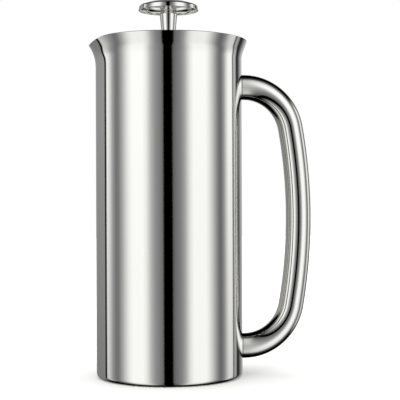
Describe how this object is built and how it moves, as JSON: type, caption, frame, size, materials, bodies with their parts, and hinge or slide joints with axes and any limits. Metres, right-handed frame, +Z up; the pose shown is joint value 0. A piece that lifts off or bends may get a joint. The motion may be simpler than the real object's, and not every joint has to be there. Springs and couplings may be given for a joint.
{
  "type": "french press",
  "caption": "Double-walled steel coffee press with flared rim and pouring lip, round tube handle, recessed lid, and a plunger with a round palm knob and a mesh filter.",
  "frame": {"origin": "on the pot's axis, in the plane of the foot ring it stands on", "axes": "+Z up the pot's axis; +X towards the handle, -X towards the pouring lip"},
  "size_m": [0.1697, 0.1164, 0.2787],
  "materials": {
    "mirror_steel": "mirror-polished stainless steel",
    "satin_steel": "satin stainless steel",
    "weld_steel": "polished weld bead",
    "screen_steel": "woven stainless mesh",
    "spring_steel": "bright spring wire",
    "black_moulding": "moulded black polypropylene",
    "bush_moulding": "moulded black acetal",
    "seal_silicone": "grey silicone",
    "seal_glass": "sealing glass bead",
    "getter_metal": "sintered getter alloy"
  },
  "bodies": {
    "pot": {"outer_shell": "mirror_steel", "inner_liner": "satin_steel", "vacuum_bottom": "satin_steel", "seal_bead": "seal_glass", "getter": "getter_metal", "base_cap": "satin_steel", "handle_tube": "mirror_steel", "upper_handle_weld": "weld_steel", "lower_handle_weld": "weld_steel"},
    "lid_seal": {"lid_gasket": "seal_silicone"},
    "lid": {"lid_cover": "mirror_steel", "lid_liner": "black_moulding"},
    "rod_guide": {"guide_bush": "bush_moulding", "bush_nut": "bush_moulding"},
    "plunger": {"knob_disc": "mirror_steel", "knob_neck": "mirror_steel", "plunger_rod": "mirror_steel", "spring_plate": "satin_steel", "edge_spring": "spring_steel", "mesh_screen": "screen_steel", "cross_plate": "satin_steel", "hub_nut": "satin_steel"}
  },
  "joints": [
    {"name": "lid_lift", "type": "slide", "parent": "pot", "child": "lid_seal", "axis": [0, 0, 1], "range_m": [0, 0.24]},
    {"name": "lid_turn", "type": "hinge", "parent": "lid_seal", "child": "lid", "pos_m": [0, 0, 0.218], "axis": [0, 0, 1], "continuous": true},
    {"name": "plunger_turn", "type": "hinge", "parent": "lid", "child": "rod_guide", "pos_m": [0, 0, 0.24], "axis": [0, 0, 1], "continuous": true},
    {"name": "plunger_press", "type": "slide", "parent": "rod_guide", "child": "plunger", "axis": [0, 0, 1], "range_m": [0, 0.179]}
  ]
}
